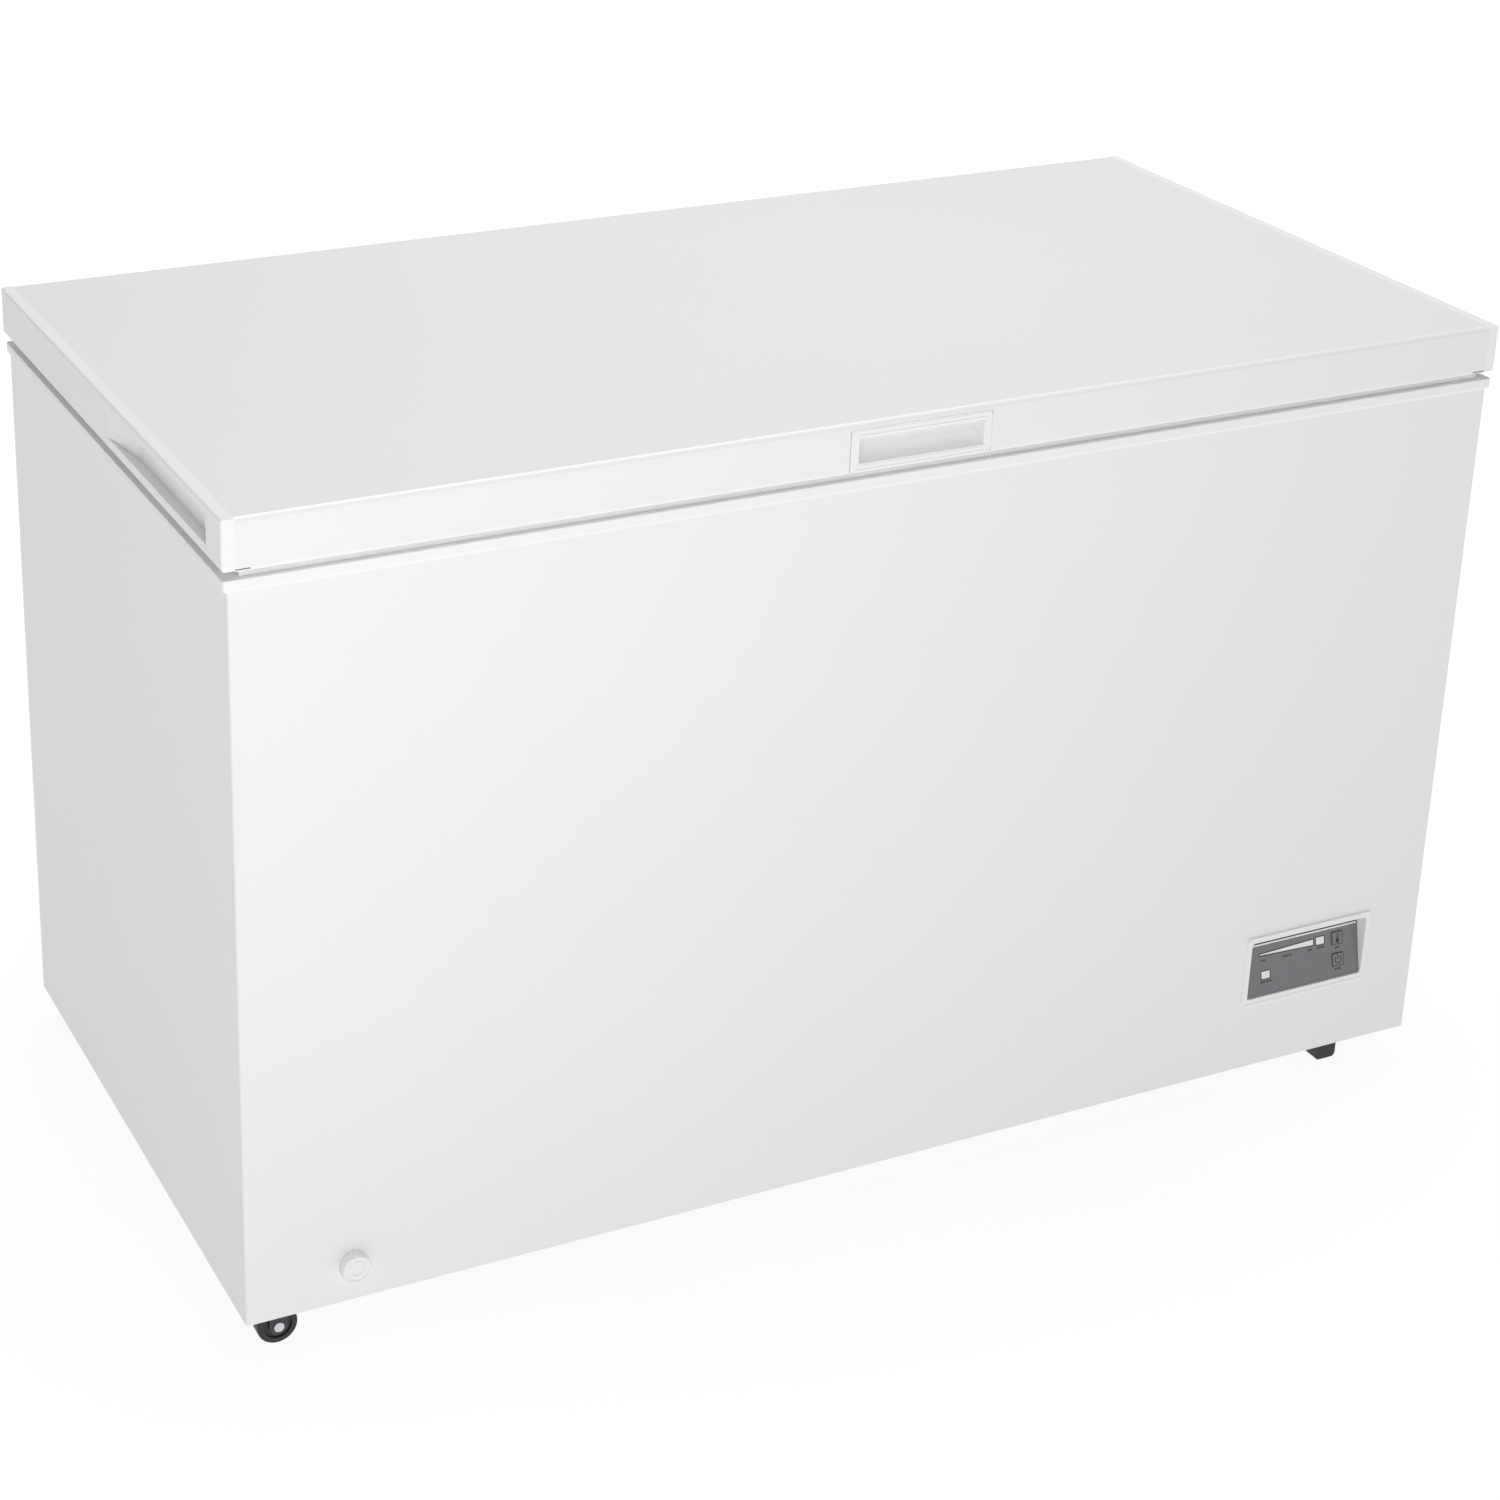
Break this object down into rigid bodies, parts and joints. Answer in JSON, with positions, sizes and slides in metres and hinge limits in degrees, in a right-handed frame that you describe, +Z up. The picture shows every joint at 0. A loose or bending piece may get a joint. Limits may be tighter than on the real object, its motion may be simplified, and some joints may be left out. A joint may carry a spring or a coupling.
{
  "type": "chest freezer",
  "caption": "Long white chest freezer with a hinged insulated lid, grip handle, low control panel, drain outlet, sliding wire basket, wheels at one end and feet at the other.",
  "frame": {"origin": "on the floor, under the middle of the whole freezer with the lid closed", "axes": "+X along the length towards the compressor end, -Y out of the front, +Z up"},
  "size_m": [1.348, 0.696, 0.845],
  "materials": {
    "white_steel": "semi-gloss white powder coat",
    "white_plastic": "satin white moulding",
    "gasket_rubber": "soft white magnetic gasket",
    "grey_fascia": "mid-grey satin fascia",
    "button_plastic": "mid-grey key with a pale symbol",
    "window_plastic": "translucent white window",
    "liner_aluminium": "stucco-embossed sheet",
    "foam": "rigid polyurethane foam, closed-cell",
    "galvanised_steel": "galvanised sheet",
    "zinc_screws": "bright zinc plate",
    "dark_steel": "dark grey painted",
    "black_plastic": "textured black moulding",
    "copper": "drawn copper tube",
    "steel_tube": "black painted steel tube",
    "compressor_black": "gloss black enamel",
    "black_rubber": "soft black rubber",
    "circuit_board": "glass-fibre board with solder mask",
    "coated_wire": "white plastic-coated wire",
    "grip_plastic": "white plastic sleeve"
  },
  "bodies": {
    "cabinet": {"base_panel": "galvanised_steel", "cabinet_screws": "zinc_screws", "compartment_divider": "galvanised_steel", "compressor": "compressor_black", "compressor_bolts": "zinc_screws", "compressor_cover": "galvanised_steel", "compressor_grommets": "black_rubber", "compressor_tray": "galvanised_steel", "condenser_coil": "steel_tube", "control_board": "circuit_board", "control_box": "black_plastic", "cord_gland": "black_plastic", "discharge_pipe": "steel_tube", "drain_elbow": "white_plastic", "evaporator_coil": "copper", "fascia": "grey_fascia", "filter_drier": "copper", "foam_insulation": "foam", "front_foot": "black_plastic", "front_panel": "white_steel", "front_wheel_fork": "dark_steel", "hinge_bases": "galvanised_steel", "hinge_pins": "zinc_screws", "hinge_springs": "zinc_screws", "indicator_windows": "window_plastic", "inner_liner": "liner_aluminium", "left_side_panel": "white_steel", "panel_bezel": "white_plastic", "rear_foot": "black_plastic", "rear_panel": "galvanised_steel", "rear_wheel_fork": "dark_steel", "right_side_panel": "white_steel", "side_vent_grille": "black_plastic", "suction_pipe": "copper", "temperature_sensor": "copper", "terminal_cover": "black_plastic", "top_frame": "white_plastic", "wheel_axles": "zinc_screws", "wiring_loom": "black_rubber"},
    "lid": {"lid_outer_panel": "white_steel", "lid_left_cap": "white_plastic", "lid_right_cap": "white_plastic", "lid_handle": "white_plastic", "lid_foam": "foam", "lid_liner": "white_plastic", "lid_gasket": "gasket_rubber", "hinge_arms": "galvanised_steel", "hinge_arm_screws": "zinc_screws"},
    "front_wheel": {"front_wheel": "black_plastic"},
    "rear_wheel": {"rear_wheel": "black_plastic"},
    "set_button": {"set_button": "button_plastic"},
    "power_button": {"power_button": "button_plastic"},
    "drain_spout": {"drain_spout": "white_plastic"},
    "drain_cap": {"drain_cap": "white_plastic"},
    "tub_drain_plug": {"tub_drain_plug": "white_plastic"},
    "basket": {"basket_rim": "coated_wire", "basket_long_sides": "coated_wire", "basket_ends": "coated_wire", "basket_floor": "coated_wire", "basket_grips": "grip_plastic"}
  },
  "joints": [
    {"name": "lid_hinge", "type": "hinge", "parent": "cabinet", "child": "lid", "pos_m": [0, 0.3415, 0.791], "axis": [-1, 0, 0], "range_deg": [0, 75], "stiffness_Nm_per_rad": 8, "springref_deg": 148.97},
    {"name": "front_wheel_spin", "type": "hinge", "parent": "cabinet", "child": "front_wheel", "pos_m": [-0.6345, -0.3175, 0.02], "axis": [0, 1, 0], "continuous": true},
    {"name": "rear_wheel_spin", "type": "hinge", "parent": "cabinet", "child": "rear_wheel", "pos_m": [-0.6345, 0.315, 0.02], "axis": [0, 1, 0], "continuous": true},
    {"name": "set_button_press", "type": "slide", "parent": "cabinet", "child": "set_button", "axis": [0, 0.9763, -0.2166], "range_m": [0, 0.001], "stiffness_N_per_m": 400},
    {"name": "power_button_press", "type": "slide", "parent": "cabinet", "child": "power_button", "axis": [0, 0.9763, -0.2166], "range_m": [0, 0.001], "stiffness_N_per_m": 400},
    {"name": "drain_pull", "type": "slide", "parent": "cabinet", "child": "drain_spout", "axis": [0, -1, 0], "range_m": [0, 0.022]},
    {"name": "drain_cap_turn", "type": "hinge", "parent": "drain_spout", "child": "drain_cap", "pos_m": [-0.563, -0.348, 0.076], "axis": [0, -1, 0], "range_deg": [0, 180]},
    {"name": "tub_drain_plug_lift", "type": "slide", "parent": "cabinet", "child": "tub_drain_plug", "axis": [0, 0, 1], "range_m": [0, 0.02]},
    {"name": "basket_slide", "type": "slide", "parent": "cabinet", "child": "basket", "axis": [-1, 0, 0], "range_m": [0, 0.79]}
  ]
}
